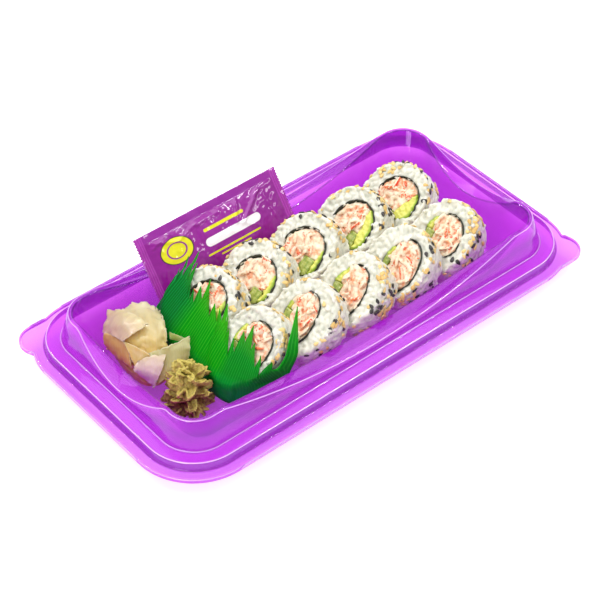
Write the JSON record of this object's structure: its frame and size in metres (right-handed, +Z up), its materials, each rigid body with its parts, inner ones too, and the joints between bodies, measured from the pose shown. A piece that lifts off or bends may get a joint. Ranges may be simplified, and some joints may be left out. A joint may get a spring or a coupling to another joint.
{
  "type": "takeaway sushi tray",
  "caption": "Shallow thermoformed takeaway tray filled with inside-out sushi rolls in two rows, a grass divider, pickled ginger, wasabi and a sauce packet.",
  "frame": {"origin": "middle of the tray's length and width, on the plane that the tray's floor rests on", "axes": "+X along the tray, from the ginger end to the rolls' end; +Y to the long side where the sauce packet leans; +Z up"},
  "size_m": [0.25, 0.1346, 0.0404],
  "materials": {
    "tray_plastic": "glossy translucent violet",
    "rice": "moist cooked rice with black and tan sesame",
    "nori": "dark seaweed sheet",
    "crab_filling": "shredded, cream with orange-red streaks",
    "avocado": "soft, yellow to green",
    "cucumber": "wet flesh with a dark green skin",
    "grass_film": "thin ribbed film",
    "pickled_ginger": "thin wet translucent slices",
    "wasabi": "piped paste",
    "packet_film": "printed foil film"
  },
  "bodies": {
    "root": {"tray": "tray_plastic", "roll_far_1_rice": "rice", "roll_far_1_nori": "nori", "roll_far_1_crab": "crab_filling", "roll_far_1_avocado": "avocado", "roll_far_1_cucumber": "cucumber", "roll_far_2_rice": "rice", "roll_far_2_nori": "nori", "roll_far_2_crab": "crab_filling", "roll_far_2_avocado": "avocado", "roll_far_2_cucumber": "cucumber", "roll_far_3_rice": "rice", "roll_far_3_nori": "nori", "roll_far_3_crab": "crab_filling", "roll_far_3_avocado": "avocado", "roll_far_3_cucumber": "cucumber", "roll_far_4_rice": "rice", "roll_far_4_nori": "nori", "roll_far_4_crab": "crab_filling", "roll_far_4_avocado": "avocado", "roll_far_4_cucumber": "cucumber", "roll_far_5_rice": "rice", "roll_far_5_nori": "nori", "roll_far_5_crab": "crab_filling", "roll_far_5_avocado": "avocado", "roll_far_5_cucumber": "cucumber", "roll_near_1_rice": "rice", "roll_near_1_nori": "nori", "roll_near_1_crab": "crab_filling", "roll_near_1_avocado": "avocado", "roll_near_1_cucumber": "cucumber", "roll_near_2_rice": "rice", "roll_near_2_nori": "nori", "roll_near_2_crab": "crab_filling", "roll_near_2_avocado": "avocado", "roll_near_2_cucumber": "cucumber", "roll_near_3_rice": "rice", "roll_near_3_nori": "nori", "roll_near_3_crab": "crab_filling", "roll_near_3_avocado": "avocado", "roll_near_3_cucumber": "cucumber", "roll_near_4_rice": "rice", "roll_near_4_nori": "nori", "roll_near_4_crab": "crab_filling", "roll_near_4_avocado": "avocado", "roll_near_4_cucumber": "cucumber", "roll_near_5_rice": "rice", "roll_near_5_nori": "nori", "roll_near_5_crab": "crab_filling", "roll_near_5_avocado": "avocado", "roll_near_5_cucumber": "cucumber", "grass_divider": "grass_film", "ginger_1": "pickled_ginger", "ginger_2": "pickled_ginger", "ginger_3": "pickled_ginger", "ginger_4": "pickled_ginger", "ginger_5": "pickled_ginger", "wasabi": "wasabi", "sauce_packet": "packet_film"}
  },
  "joints": []
}
